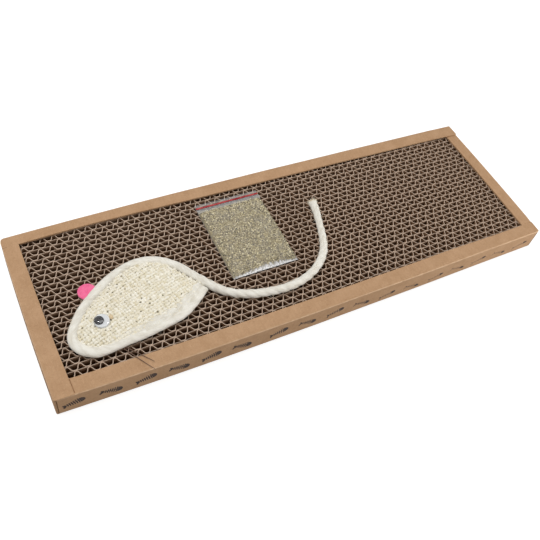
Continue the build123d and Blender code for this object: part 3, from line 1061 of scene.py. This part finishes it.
hem_cloth = spun_material("hem_cloth", tint(237, 233, 222), tint(219, 212, 196), tint(247, 245, 238), 0.7)
form, lays = hem()
show("mouse_front_hem", form, hem_cloth, "mouse", "sisal_weave", "mouse_front_mat", smooth=80, lay=lays)

grey_card = plain_paper(
    "grey_card", tint(150, 140, 126), tint(128, 118, 104), tint(172, 164, 150), fineness=700.0, strength=0.2
)


def dress(name, material):
    """Gives a CAD piece that shows as it is its finish."""
    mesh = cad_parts[name].data
    mesh.materials.clear()
    mesh.materials.append(material)


dress("mouse_stiffener", grey_card)


# Ear: a disc cut from thick pink felt, glued in under the rope so that about a third of it shows.
# Its edge is rounded and a little fuzzy, as pressed wool is.
ear_low, ear_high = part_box("mouse_ear")
ear_middle = 0.5 * (Vector(ear_low) + Vector(ear_high))
ear_radius = 0.5 * (ear_high[0] - ear_low[0])
ear_thick = ear_high[2] - ear_low[2]


def felt_disc(rings=18, spokes=96):
    """A round-edged disc of felt: its rim from below to above, and then its two flat sides."""
    points = []
    for n in range(rings + 1):
        t = n / rings * math.pi - math.pi / 2
        for angle in turns(spokes):
            nap = uneven(math.cos(angle) * 9, math.sin(angle) * 9, n * 0.7)
            share = 1 - 0.13 * (1 - math.cos(t) ** 0.8 if abs(n - rings / 2) < rings / 2 else 1)
            reach = ear_radius * share * (1 + 0.012 * nap)
            level = 0.5 * ear_thick * math.sin(t) * (1 + 0.05 * nap)
            points.append(ear_middle + Vector((reach * math.cos(angle), reach * math.sin(angle), level)))
    faces = ring_faces(rings + 1, spokes)
    for base, lift in ((0, -0.5), (rings * spokes, 0.5)):
        ring = list(range(base, base + spokes))
        for inner in range(1, 6):
            share = 0.87 * (1 - inner / 6)
            fresh = list(range(len(points), len(points) + spokes))
            for angle in turns(spokes):
                x = ear_radius * share * math.cos(angle)
                y = ear_radius * share * math.sin(angle)
                nap = uneven(x * 700, y * 700, lift)
                points.append(ear_middle + Vector((x, y, lift * ear_thick + 0.06 * mm * nap)))
            for k in range(spokes):
                j = (k + 1) % spokes
                faces.append((ring[k], ring[j], fresh[j], fresh[k]))
            ring = fresh
        faces.append(tuple(ring))
    return points, faces


felt, tree, shader = new_material("pink_felt", roughness=0.95, specular_ior_level=0.15, sheen_weight=0.35)
patches = mottled(tree, tint(250, 116, 160), tint(242, 100, 148), 0.35, 0.68, 280, 3)
wool = mottled(tree, grey(0), grey(0.7), 0.52, 0.72, 1500, 5, roughness=0.75, distortion=1.5)
tone = mix(tree, wool["Colour"], patches["Colour"], tint(255, 160, 190))
coat(tree, shader, tone, wool["Height"], 0.6, 0.0004)
show("mouse_ear_felt", felt_disc(), felt, "mouse", "pink_felt", "mouse_ear", smooth=80)


# Whiskers: two stiff dark bristles held between the rope and the under mat, thinning to a point and
# bending a little under their own spring.
whisker_radius = 0.42 * mm
whisker_lines = (
    ((-175.2, -43.6, 22.6), (-168.2, -55.6, 22.9), (-161.0, -67.2, 23.3), (-154.2, -78.2, 23.5)),
    ((-173.6, -45.2, 22.6), (-166.6, -54.2, 22.9), (-159.6, -63.0, 23.3), (-152.4, -71.8, 23.4)),
)


def bristle(corners, rings=28, sides=10):
    """A round tapering tube along the curve that its four corners guide."""
    a, b, c, d = [Vector(p) * mm for p in corners]
    points = []
    for n in range(rings + 1):
        t = n / rings
        p = a * (1 - t) ** 3 + b * (3 * t * (1 - t) ** 2) + c * (3 * t * t * (1 - t)) + d * t ** 3
        ahead = ((b - a) * (1 - t) ** 2 + (c - b) * (2 * t * (1 - t)) + (d - c) * t * t).normalized()
        side = ahead.cross(Vector((0, 0, 1))).normalized()
        over = side.cross(ahead)
        reach = whisker_radius * (1 - 0.6 * t ** 2)
        for angle in turns(sides):
            points.append(p + side * (reach * math.cos(angle)) + over * (reach * math.sin(angle)))
    return points, tube_faces(rings + 1, sides)


dark_bristle, tree, shader = new_material("dark_bristle", roughness=0.42, specular_ior_level=0.4)
streak = mottled(tree, tint(82, 56, 42), tint(112, 82, 62), 0.35, 0.7, 420, 3)
coat(tree, shader, streak["Colour"], streak["Height"], 0.15, 0.0001)
whiskers = gather([bristle(line) for line in whisker_lines])
show("mouse_whisker_bristles", whiskers, dark_bristle, "mouse", "dark_bristle", "mouse_whiskers", smooth=60)


# Wobbly eye: a white moulded disc glued to the weave, a loose black disc on it, and a clear domed cap
# over both. A smear of hot glue has come out beside it.
eye_low, eye_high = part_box("eye_base")
eye_middle = 0.5 * (Vector(eye_low) + Vector(eye_high))
eye_radius = 0.5 * (eye_high[0] - eye_low[0])


def moulded(name, dark, pale, roughness):
    """Smooth moulded plastic with a faint cloudiness and fine scuffs."""
    material, tree, shader = new_material(name, specular_ior_level=0.15)
    cloud = mottled(tree, dark, pale, 0.35, 0.7, 340, 3)
    tree.links.new(cloud["Colour"], shader.inputs["Base Color"])
    scuff = mottled(tree, grey(roughness), grey(roughness + 0.12), 0.3, 0.75, 2600, 3)
    tree.links.new(scuff["Colour"], shader.inputs["Roughness"])
    return material


dress("eye_base", moulded("eye_white", tint(214, 216, 217), tint(224, 226, 227), 0.4))
dress("eye_pupil", moulded("eye_black", tint(12, 12, 17), tint(18, 18, 25), 0.5))
clear_cap, tree, shader = new_material(
    "eye_clear", transmission_weight=1.0, ior=1.36, base_color=(1, 1, 1, 1), specular_ior_level=0.5
)
scuff = mottled(tree, grey(0.03), grey(0.06), 0.4, 0.8, 1400, 3)
tree.links.new(scuff["Colour"], shader.inputs["Roughness"])
# the cap casts no shadow of its own on the white disc
ray = put(tree, "LightPath").outputs
lit = put(tree, "Math", {0: ray["Is Shadow Ray"], 1: ray["Is Diffuse Ray"]}, operation="ADD", use_clamp=True)
open_air = put(tree, "BsdfTransparent").outputs[0]
seen = put(tree, "MixShader", {0: lit.outputs[0], 1: shader.outputs[0], 2: open_air})
tree.links.new(seen.outputs[0], tree.nodes["Material Output"].inputs["Surface"])
cap_low, cap_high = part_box("eye_dome")
cap_wall = 0.4 * mm


def turned_cap(steps=28, spokes=96):
    """The clear cap: an upright rim that rounds into a dome, with an even wall."""
    points = []
    for inset in (0, cap_wall):
        for n in range(steps):
            t = 0.5 * math.pi * n / steps
            radius = (eye_radius - inset) * math.cos(t) ** 0.72
            level = cap_low[2] + (cap_high[2] - cap_low[2] - inset) * math.sin(t)
            for angle in turns(spokes):
                x = eye_middle.x + radius * math.cos(angle)
                y = eye_middle.y + radius * math.sin(angle)
                points.append((x, y, level))
    faces = []
    for side in (0, steps * spokes):
        faces += ring_faces(steps, spokes, side)
        points.append((eye_middle.x, eye_middle.y, cap_high[2] - (cap_wall if side else 0)))
        last = side + (steps - 1) * spokes
        for k in range(spokes):
            faces.append((last + k, last + (k + 1) % spokes, len(points) - 1))
    for k in range(spokes):
        j = (k + 1) % spokes
        faces.append((k, j, steps * spokes + j, steps * spokes + k))
    return points, faces


show("eye_dome_cap", turned_cap(), clear_cap, "mouse", "eye_clear", "eye_dome", smooth=80)


def glue_smear(rings=10, spokes=40):
    """A low lobed lump of glue beside the eye."""
    middle = eye_middle + Vector((eye_radius + 1.3 * mm, 1.4 * mm, -0.45 * mm))
    points = [middle + Vector((0, 0, 0.75 * mm))]
    for n in range(1, rings + 1):
        t = n / rings
        for angle in turns(spokes):
            lobes = 1 + 0.35 * uneven(1.6 * math.cos(angle), 1.6 * math.sin(angle), 4)
            x = 1.3 * mm * lobes * t * math.cos(angle)
            y = 2.5 * mm * lobes * t * math.sin(angle)
            lump = uneven(x * 900, y * 900, 1)
            points.append(middle + Vector((x, y, (0.75 - 0.95 * t * t + 0.22 * lump) * mm)))
    faces = [(0, 1 + k, 1 + (k + 1) % spokes) for k in range(spokes)]
    faces += ring_faces(rings, spokes, 1)
    faces.append(tuple(range(1 + (rings - 1) * spokes, 1 + rings * spokes)))
    return points, faces


glue, tree, shader = new_material("hot_glue", roughness=0.38, specular_ior_level=0.4)
murk = mottled(tree, tint(196, 170, 130), tint(222, 202, 166), 0.35, 0.68, 700, 3)
coat(tree, shader, murk["Colour"], murk["Height"], 0.3, 0.0003)
show("mouse_eye_glue", glue_smear(), glue, "mouse", "sisal_weave", smooth=70)


# Loose fibres: ends of sisal that have worked out of the rope and the weave, and the brush of fibre
# where the tail was cut.
fibre_radius = 0.07 * mm


def hair(start, ahead, length, bend, rings=6):
    """One thin fibre as a three-sided tapering tube."""
    way = ahead.normalized()
    side = way.orthogonal().normalized()
    over = way.cross(side)
    points = []
    for n in range(rings + 1):
        t = n / rings
        p = start + way * (length * t) + bend * (length * t * t)
        reach = fibre_radius * (1 - 0.7 * t)
        for angle in turns(3):
            points.append(p + side * (reach * math.cos(angle)) + over * (reach * math.sin(angle)))
    return points, tube_faces(rings + 1, 3)


rng = random.Random(11)
fuzz_parts = []
for line, count in ((edge_line, 260), (tail_line, 170)):
    for n in range(count):
        k = rng.randrange(2, len(line) - 2)
        ahead = Vector(line[k + 1] - line[k - 1]).normalized()
        angle = rng.uniform(-0.25 * math.pi, 1.25 * math.pi)
        side = Vector((-ahead.y, ahead.x, 0))
        out = side * math.cos(angle) + Vector((0, 0, 1)) * math.sin(angle)
        start = Vector(line[k]) + out * (0.9 * rope_radius)
        way = ahead * rng.choice((-1, 1)) + out * rng.uniform(0.15, 0.6)
        bend = (out * rng.uniform(-0.5, 0.1) + side * rng.uniform(-0.3, 0.3)) * 0.7
        fuzz_parts.append(hair(start, way, rng.uniform(2, 5.5) * mm, bend))
for n in range(220):
    angle = rng.uniform(0, 2 * math.pi)
    x, y = off_middle(angle, math.sqrt(rng.random()) * at_angle(angle, inner_reach))
    way = Vector((rng.uniform(-1, 1), rng.uniform(-1, 1), rng.uniform(0.1, 0.35)))
    bend = Vector((rng.uniform(-0.3, 0.3), rng.uniform(-0.3, 0.3), -0.3))
    fuzz_parts.append(hair(Vector((x, y, crown(x, y) - 0.3 * mm)), way, rng.uniform(2, 5) * mm, bend))
end_way = Vector(tail_line[-1] - tail_line[-3]).normalized()
end_side = Vector((-end_way.y, end_way.x, 0))
for n in range(420):
    angle = rng.uniform(0, 2 * math.pi)
    reach = rope_radius * 1.08 * math.sqrt(rng.random())
    out = end_side * math.cos(angle) + Vector((0, 0, 1)) * math.sin(angle)
    start = Vector(tail_line[-2]) + out * reach
    way = end_way + out * rng.uniform(0.0, 0.35) * reach / rope_radius
    bend = out * rng.uniform(-0.1, 0.25) + Vector((0, 0, -0.1))
    fuzz_parts.append(hair(start, way, rng.uniform(1.2, 3.6) * mm, bend, rings=4))
stray_fibre, tree, shader = new_material(
    "stray_fibre", roughness=0.8, specular_ior_level=0.3, sheen_weight=0.2
)
patches = mottled(tree, tint(240, 234, 216), tint(222, 208, 176), 0.35, 0.65, 300, 2)
coat(tree, shader, patches["Colour"], patches["Height"], 0.1, 0.0001)
show("mouse_loose_fibres", gather(fuzz_parts), stray_fibre, "mouse", "sisal_rope")


# Catnip: dried leaf rubbed to crumbs, filling the sachet to just under its zip. A lumpy bed with
# thousands of separate flakes of leaf and stem lying on it.
film_low, film_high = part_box("sachet_front_film")
fill_low, fill_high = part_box("catnip_fill")
sachet_middle_x = 0.5 * (film_low[0] + film_high[0])
zip_low, zip_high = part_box("sachet_zip_groove")
fill_low = (film_low[0] + 0.35 * mm, film_low[1] + 1.6 * mm, fill_low[2])
fill_high = (film_high[0] - 0.35 * mm, zip_low[1] + 2.4 * mm, fill_high[2])
fill_half = 0.5 * (fill_high[0] - fill_low[0])


def fill_swell(x, y):
    """Share of the catnip's full height: rounded down at the sides and the bottom, thin under the zip."""
    across = min(abs(x - sachet_middle_x) / fill_half, 1)
    foot = ease(y - fill_low[1], -0.5 * mm, 6 * mm) ** 0.6
    head = 1 - 0.85 * ease(y, fill_high[1] - 9 * mm, fill_high[1] - 0.5 * mm)
    return (1 - across ** 14) ** 0.6 * foot * head


def fill_level(x, y):
    """Level of the catnip's surface."""
    lumps = 0.35 * uneven(x * 130, y * 130, 5)
    return fill_low[2] + (fill_high[2] - fill_low[2] - 0.5 * mm) * fill_swell(x, y) * (0.94 + 0.12 * lumps)


bed_columns = 100
bed_rows = 122
points = []
for j in range(bed_rows + 1):
    for i in range(bed_columns + 1):
        x = fill_low[0] + (fill_high[0] - fill_low[0]) * i / bed_columns
        y = fill_low[1] + (fill_high[1] - fill_low[1]) * j / bed_rows
        crumbs = 0.28 * mm * uneven(x * 900, y * 900, 2)
        crumbs += 0.2 * mm * uneven(x * 1900, y * 1900, 6)
        edge = i in (0, bed_columns) or j in (0, bed_rows)
        points.append((x, y, fill_low[2] + 0.02 * mm if edge else fill_level(x, y) + crumbs))
points += [(p[0], p[1], fill_low[2]) for p in points]
form = points, sheet_faces(bed_rows + 1, bed_columns + 1)

leaf_bed, tree, shader = new_material("dried_leaf", roughness=0.92, specular_ior_level=0.2)
grit = mottled(tree, tint(112, 99, 70), tint(196, 182, 142), 0.36, 0.64, 1500, 4, roughness=0.7)
heaps = mottled(tree, grey(0), grey(0.6), 0.38, 0.68, 160, 4)
tone = mix(tree, heaps["Colour"], grit["Colour"], tint(134, 120, 88))
coat(tree, shader, tone, grit["Height"], 0.6, 0.0006)
show("catnip_bed", form, leaf_bed, "sachet", "dried_leaf", "catnip_fill", smooth=60)

flake_count = 8200
flake_outline = ((-1, -0.5), (-0.1, -1), (1, -0.2), (0.5, 0.9), (-0.7, 0.7))
flake_faces = []
for k in range(5):
    flake_faces += [(k, (k + 1) % 5, 5), ((k + 1) % 5, k, 6)]
rng = random.Random(23)
flakes = []
shades = []
for n in range(flake_count):
    x = rng.uniform(fill_low[0] + 0.9 * mm, fill_high[0] - 0.9 * mm)
    y = rng.uniform(fill_low[1] + 0.6 * mm, fill_high[1] - 0.6 * mm)
    middle = Vector((x, y, fill_level(x, y) + rng.uniform(0.02, 0.22) * mm))
    turn = Quaternion((rng.uniform(-1, 1), rng.uniform(-1, 1), 2.2), rng.uniform(0, 2 * math.pi))
    long = rng.uniform(0.35, 0.9) * mm
    broad = long * (rng.uniform(0.5, 0.95) if rng.random() < 0.92 else 0.2)
    thin = rng.uniform(0.06, 0.14) * mm
    flake = []
    for cx, cy in flake_outline:
        corner = Vector((cx * long * rng.uniform(0.7, 1), cy * broad * rng.uniform(0.7, 1), 0))
        flake.append(middle + turn @ corner)
    tip = turn @ Vector((0, 0, thin))
    flakes.append((flake + [middle + tip, middle - tip], flake_faces))
    shades += [rng.random()] * 7
leaf_flake, tree, shader = new_material("leaf_flakes", roughness=0.88, specular_ior_level=0.25)
shade = put(tree, "Attribute", attribute_name="flake_shade").outputs["Fac"]
tone = mix(tree, ramp(tree, shade, (0.2, 0), (0.55, 1)), tint(64, 53, 32), tint(180, 165, 121))
tone = mix(tree, ramp(tree, shade, (0.66, 0), (0.86, 1)), tone, tint(244, 231, 190))
veins = mottled(tree, grey(0.1), grey(0.9), 0.3, 0.7, 3200, 2)
tone = mix(tree, 0.3, tone, veins["Colour"], "OVERLAY")
coat(tree, shader, tone, veins["Height"], 0.3, 0.0001)
show(
    "catnip_flakes", gather(flakes), leaf_flake, "sachet", "dried_leaf", "catnip_fill",
    smooth=20, flake_shade=shades,
)


# Sachet: two clear films welded along the sides and the bottom, with a press zip and a red line near
# the open end. The front film lies over the catnip and puckers along the bottom weld, where its glare
# is painted in as a white veil.
film = 0.12 * mm
film_width = film_high[0] - film_low[0]
red_line_y = 54.7 * mm
red_line_width = 1.75 * mm


def film_level(x, y):
    """Level of the front film: on the catnip, down to the welds, and flat above the zip."""
    over_zip = ease(y, zip_low[1] - 1.5 * mm, zip_low[1]) * (1 - ease(y, zip_high[1], zip_high[1] + 1.5 * mm))
    level = film_low[2] + 0.25 * mm + (zip_high[2] - film_low[2]) * over_zip
    swell = fill_swell(x, y) if fill_low[1] < y < fill_high[1] else 0
    level = max(level, film_low[2] + 0.3 * mm + (film_high[2] - film_low[2] - 0.45 * mm) * swell)
    foot = 1 - ease(y - film_low[1], 0.5 * mm, 7 * mm)
    level += 0.9 * mm * foot * abs(uneven(x * 300, y * 120, 1))
    level += 0.7 * mm * (1 - ease(y - film_low[1], 0, 2.5 * mm))
    level += 0.2 * mm * uneven(x * 60 + y * 25, y * 45, 8) * (0.25 + 0.5 * swell)
    lip = ease(y, zip_high[1], film_high[1])
    level += lip * (0.5 + 0.6 * uneven(x * 45, y * 20, 4)) * mm
    return min(max(level, film_low[2] + 0.05 * mm), film_high[2])


film_columns = 96
film_rows = 132
points = []
haze = []
for j in range(film_rows + 1):
    for i in range(film_columns + 1):
        x = film_low[0] + film_width * i / film_columns
        y = film_low[1] + (film_high[1] - film_low[1]) * j / film_rows
        points.append((x, y, film_level(x, y)))
        across = abs(x - sachet_middle_x) / (0.5 * film_width)
        # painted highlight: the glare along the bottom weld is painted in as a white veil under an arch, with
        # specks where the catnip shows
        arch = film_low[1] + (1.0 + 2.4 * (1 - across * across)) * mm
        ragged = 1.9 * mm * uneven(x * 520, y * 300, 3)
        white = 1 - ease(y + ragged, arch - 1.4 * mm, arch + 0.6 * mm)
        speck = ease(uneven(x * 800, y * 800, 12), 0.0, 0.3)
        zip_veil = ease(y, zip_low[1] - 0.6 * mm, zip_low[1])
        zip_veil *= 1 - ease(y, red_line_y - 0.9 * mm, red_line_y - 0.3 * mm)
        lip_veil = ease(y, red_line_y + 0.5 * mm, red_line_y + 1.1 * mm)
        haze.append(max(0.86 * white * (1 - 0.75 * speck), 0.08 * zip_veil, 0.01 * lip_veil))
points += [(x, y, z - film) for x, y, z in points]
form = points, sheet_faces(film_rows + 1, film_columns + 1)


def film_material(name, tone, clear, strength):
    """Clear film: seen through, whiter in scuffs, over the zip and lip, and in the painted glare by the
    bottom weld.
    """
    material, tree, shader = new_material(name, roughness=0.16, specular_ior_level=0.5, base_color=tone)
    scuff = mottled(tree, grey(clear), grey(clear + 0.06), 0.4, 0.75, 210, 4, roughness=0.65)
    white = put(tree, "Attribute", attribute_name="haze").outputs["Fac"]
    veil = put(tree, "Math", {0: scuff["Colour"], 1: white}, operation="ADD", use_clamp=True)
    tree.links.new(veil.outputs[0], shader.inputs["Alpha"])
    bump = put(tree, "Bump", {"Height": scuff["Height"], "Strength": strength, "Distance": 0.0006})
    tree.links.new(bump.outputs["Normal"], shader.inputs["Normal"])
    return material


clear_film = film_material("clear_film", tint(242, 241, 240), 0.035, 0.25)
show(
    "sachet_front_skin", form, clear_film, "sachet", "clear_film", "sachet_front_film",
    smooth=60, haze=haze + haze,
)
dress("sachet_back_film", clear_film)
zip_film = film_material("zip_film", tint(206, 198, 184), 0.1, 0.15)
dress("sachet_zip_groove", zip_film)
dress("sachet_zip_rib", zip_film)

line = []
for n in range(61):
    x = film_low[0] + 0.15 * mm + (film_width - 0.3 * mm) * n / 60
    y = red_line_y + 0.25 * mm * uneven(x * 70, 0, 6)
    line.append(Vector((x, y, film_level(x, y) + 0.04 * mm)))
red_print, tree, shader = new_material("red_line", roughness=0.4, specular_ior_level=0.2)
patchy = mottled(tree, tint(146, 26, 32), tint(180, 72, 70), 0.4, 0.62, 260, 3)
coat(tree, shader, patchy["Colour"], patchy["Height"], 0.1, 0.0001)
form = ribbon(line, red_line_width, Vector((0, 1, 0)), Vector((0, 0, 0.03 * mm)))
show("sachet_red_line", form, red_print, "sachet", "zip_film")


# Studio: a pale floor that shows white to the camera and keeps the soft shadow, a large soft lamp
# above, a smaller one from the back left, a weak one low at the front, and an even surround.
floor_half = 1.5
floor_level = -0.3 * mm
corners = [(x * floor_half, y * floor_half, floor_level) for x, y in ((-1, -1), (1, -1), (1, 1), (-1, 1))]
floor_mesh = bpy.data.meshes.new("studio_floor")
floor_mesh.from_pydata(corners, [], [(0, 1, 2, 3)])


def plainly_seen(tree):
    """1 where the camera sees a thing, straight, in a mirror or through glass, and 0 where it only lights."""
    ray = put(tree, "LightPath").outputs
    seen = ray["Is Camera Ray"]
    for other in ("Is Glossy Ray", "Is Transmission Ray"):
        seen = put(tree, "Math", {0: seen, 1: ray[other]}, operation="ADD", use_clamp=True).outputs[0]
    return seen


floor_paint, tree, shader = new_material("floor_paint", roughness=0.9, base_color=(0.42, 0.42, 0.42, 1))
shader.inputs["Emission Color"].default_value = (1, 1, 1, 1)
glow = put(tree, "Math", {0: plainly_seen(tree), 1: 0.77}, operation="MULTIPLY")
tree.links.new(glow.outputs[0], shader.inputs["Emission Strength"])
floor_mesh.materials.append(floor_paint)
studio_floor = bpy.data.objects.new("studio_floor", floor_mesh)
bpy.context.scene.collection.objects.link(studio_floor)

surround = bpy.data.worlds.new("surround")
bpy.context.scene.world = surround
surround.use_nodes = True
tree = surround.node_tree
level = put(tree, "MapRange", {"Value": plainly_seen(tree), "To Min": 0.45, "To Max": 1.0})
tree.nodes["Background"].inputs["Color"].default_value = (1, 1, 1, 1)
tree.links.new(level.outputs["Result"], tree.nodes["Background"].inputs["Strength"])


def soft_lamp(name, place, aim, size, power):
    """A round soft lamp that points at a place."""
    lamp = bpy.data.lights.new(name, "AREA")
    lamp.shape = "DISK"
    lamp.size = size
    lamp.energy = power
    holder = bpy.data.objects.new(name, lamp)
    holder.location = place
    holder.rotation_euler = (Vector(aim) - Vector(place)).to_track_quat("-Z", "Y").to_euler()
    bpy.context.scene.collection.objects.link(holder)


soft_lamp("lamp_above", (-0.2, 0.06, 1.2), (0, 0, 0.02), 0.8, 4.85)
soft_lamp("lamp_left", (-0.62, 0.31, 1.09), (-0.1, 0, 0.02), 0.3, 3.35)
soft_lamp("lamp_front", (0.6, -0.45, 0.13), (0.12, -0.07, 0.01), 0.25, 2.3)

camera_place = Vector((-0.23898, -0.29024, 0.45672))
camera_aim = Vector((-0.03422, -0.02559, 0.02))
camera_roll = math.radians(14.03)
lens = bpy.data.cameras.new("photo_camera")
lens.lens = 44.245
lens.sensor_width = 36
camera = bpy.data.objects.new("photo_camera", lens)
camera.location = camera_place
level_view = (camera_aim - camera_place).to_track_quat("-Z", "Y")
camera.rotation_euler = (level_view @ Quaternion((0, 0, 1), camera_roll)).to_euler()
bpy.context.scene.collection.objects.link(camera)
bpy.context.scene.camera = camera
bpy.context.scene.view_settings.view_transform = "Standard"
